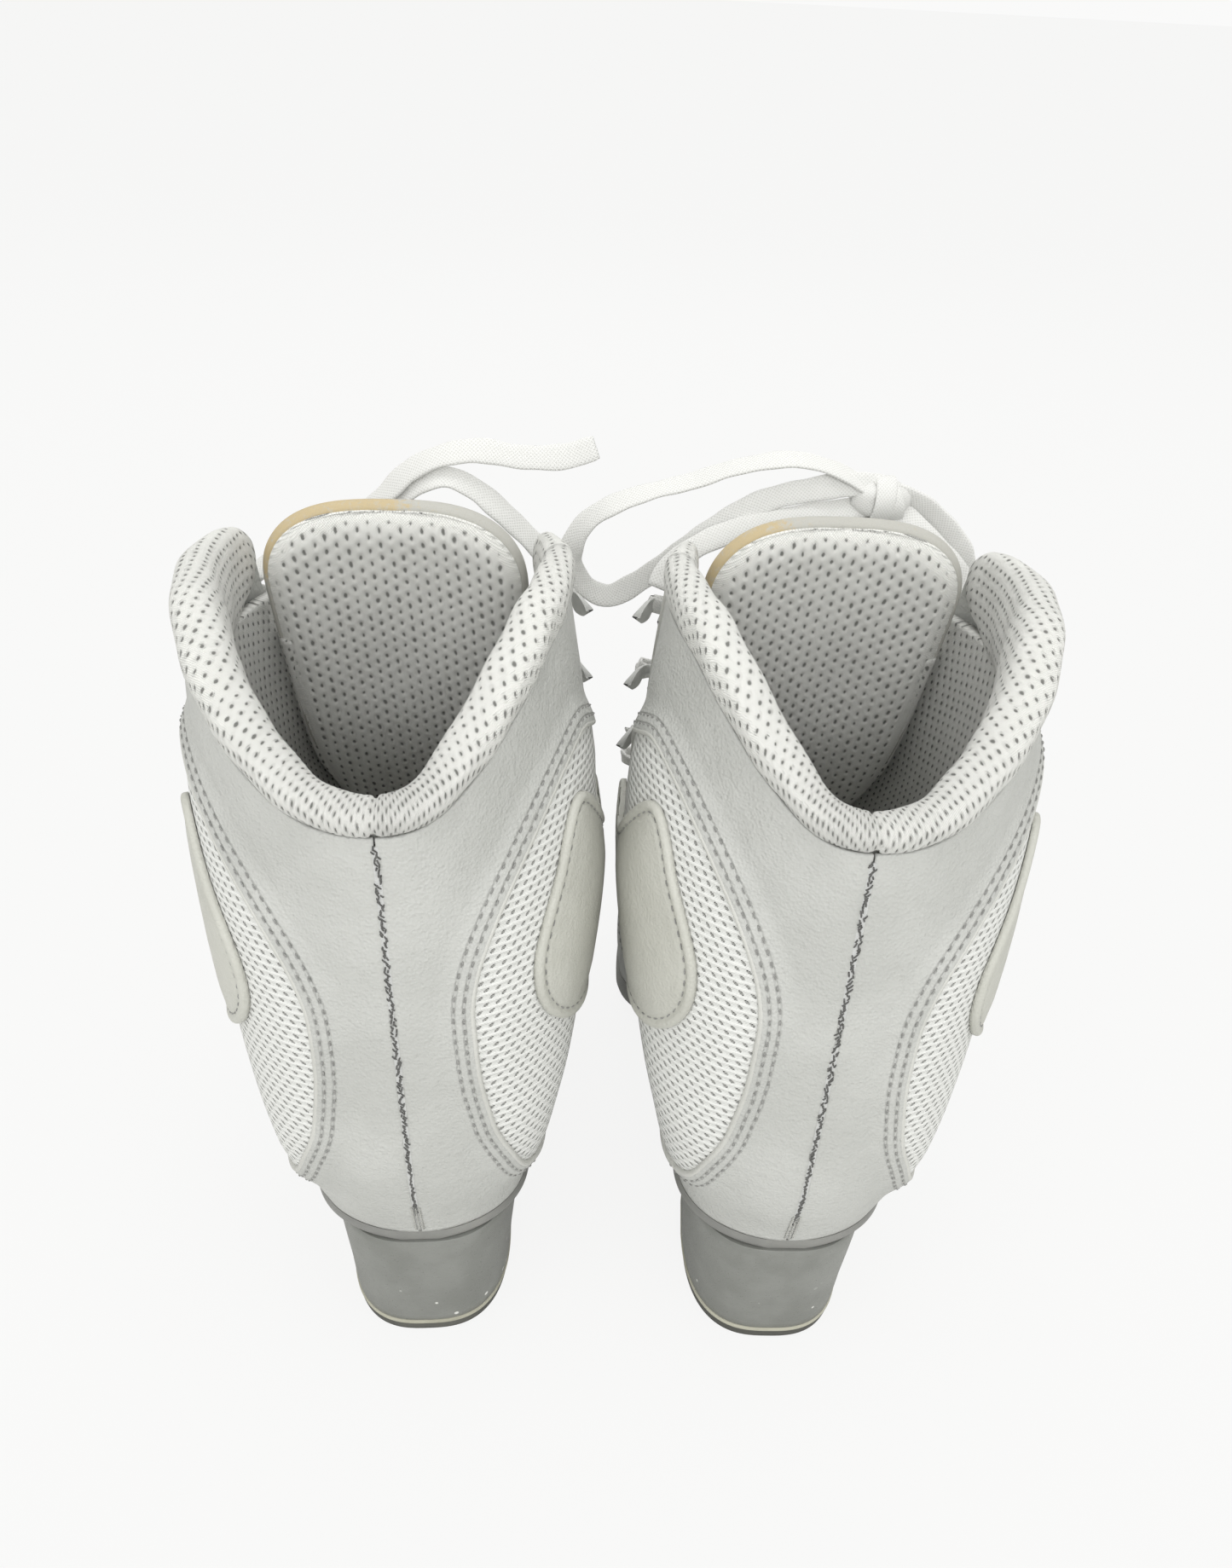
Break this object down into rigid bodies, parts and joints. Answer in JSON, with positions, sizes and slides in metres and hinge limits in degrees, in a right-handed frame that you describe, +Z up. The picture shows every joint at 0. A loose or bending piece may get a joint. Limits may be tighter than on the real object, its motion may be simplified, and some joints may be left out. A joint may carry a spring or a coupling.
{
  "type": "figure skating boots",
  "caption": "Pair of white leather figure-skating boots without blades, with padded mesh collars, tongues, mesh side panels, hooks, flat laces and block heels.",
  "frame": {"origin": "centre of the pair's footprint, on the floor that the soles and heels stand on", "axes": "+Y towards the toes, +X towards the right boot, +Z up"},
  "size_m": [0.2316, 0.2697, 0.252],
  "materials": {
    "white_leather": "coated leather with a fine grain and a soft sheen",
    "lining_mesh": "padded spacer mesh with staggered oval holes",
    "woven_mesh": "ribbed woven mesh with rows of small slots",
    "heel_grey": "grey lacquer, semi-gloss, lightly scuffed",
    "sole_grey": "light grey lacquered edge",
    "lift_rubber": "dark olive-grey rubber",
    "cream_layer": "cream leather board",
    "steel": "plain steel",
    "fibre_board": "pressed fibre board",
    "grey_thread": "dark grey waxed thread",
    "white_metal": "white enamel",
    "lace_cotton": "flat woven white lace"
  },
  "bodies": {
    "left_boot": {"left_heel_lift": "lift_rubber", "left_heel_rand": "cream_layer", "left_heel_block": "heel_grey", "left_outsole": "sole_grey", "left_heel_screws": "steel", "left_shank": "steel", "left_insole_board": "fibre_board", "left_footbed": "lining_mesh", "left_heel_counter": "fibre_board", "left_toe_puff": "fibre_board", "left_vamp": "white_leather", "left_quarter_lateral": "white_leather", "left_quarter_medial": "white_leather", "left_mesh_panel_lateral": "woven_mesh", "left_mesh_panel_medial": "woven_mesh", "left_ankle_patch_lateral": "white_leather", "left_ankle_patch_medial": "white_leather", "left_eyestay_lateral": "white_leather", "left_eyestay_medial": "white_leather", "left_back_seam": "grey_thread", "left_collar_pad": "lining_mesh", "left_lining": "lining_mesh", "left_eyelets": "white_metal", "left_hooks": "white_metal", "left_lace": "lace_cotton", "left_lace_end_medial": "lace_cotton", "left_lace_end_lateral": "lace_cotton"},
    "left_tongue": {"left_tongue_shell": "white_leather", "left_tongue_pad": "lining_mesh"},
    "right_boot": {"right_heel_lift": "lift_rubber", "right_heel_rand": "cream_layer", "right_heel_block": "heel_grey", "right_outsole": "sole_grey", "right_heel_screws": "steel", "right_shank": "steel", "right_insole_board": "fibre_board", "right_footbed": "lining_mesh", "right_heel_counter": "fibre_board", "right_toe_puff": "fibre_board", "right_vamp": "white_leather", "right_quarter_lateral": "white_leather", "right_quarter_medial": "white_leather", "right_mesh_panel_lateral": "woven_mesh", "right_mesh_panel_medial": "woven_mesh", "right_ankle_patch_lateral": "white_leather", "right_ankle_patch_medial": "white_leather", "right_eyestay_lateral": "white_leather", "right_eyestay_medial": "white_leather", "right_back_seam": "grey_thread", "right_collar_pad": "lining_mesh", "right_lining": "lining_mesh", "right_eyelets": "white_metal", "right_hooks": "white_metal", "right_lace": "lace_cotton", "right_lace_knot": "lace_cotton", "right_lace_bow_medial": "lace_cotton", "right_lace_bow_lateral": "lace_cotton"},
    "right_tongue": {"right_tongue_shell": "white_leather", "right_tongue_pad": "lining_mesh"}
  },
  "joints": [
    {"name": "right_boot_apart", "type": "slide", "parent": "left_boot", "child": "right_boot", "axis": [1, 0, 0], "range_m": [0, 0.3]},
    {"name": "left_tongue_hinge", "type": "hinge", "parent": "left_boot", "child": "left_tongue", "pos_m": [-0.05863, 0.04842, 0.074], "axis": [0.9997, 0.0262, 0], "range_deg": [0, 14], "stiffness_Nm_per_rad": 1},
    {"name": "right_tongue_hinge", "type": "hinge", "parent": "right_boot", "child": "right_tongue", "pos_m": [0.05863, 0.04442, 0.074], "axis": [0.9997, -0.0262, 0], "range_deg": [0, 14], "stiffness_Nm_per_rad": 1}
  ]
}
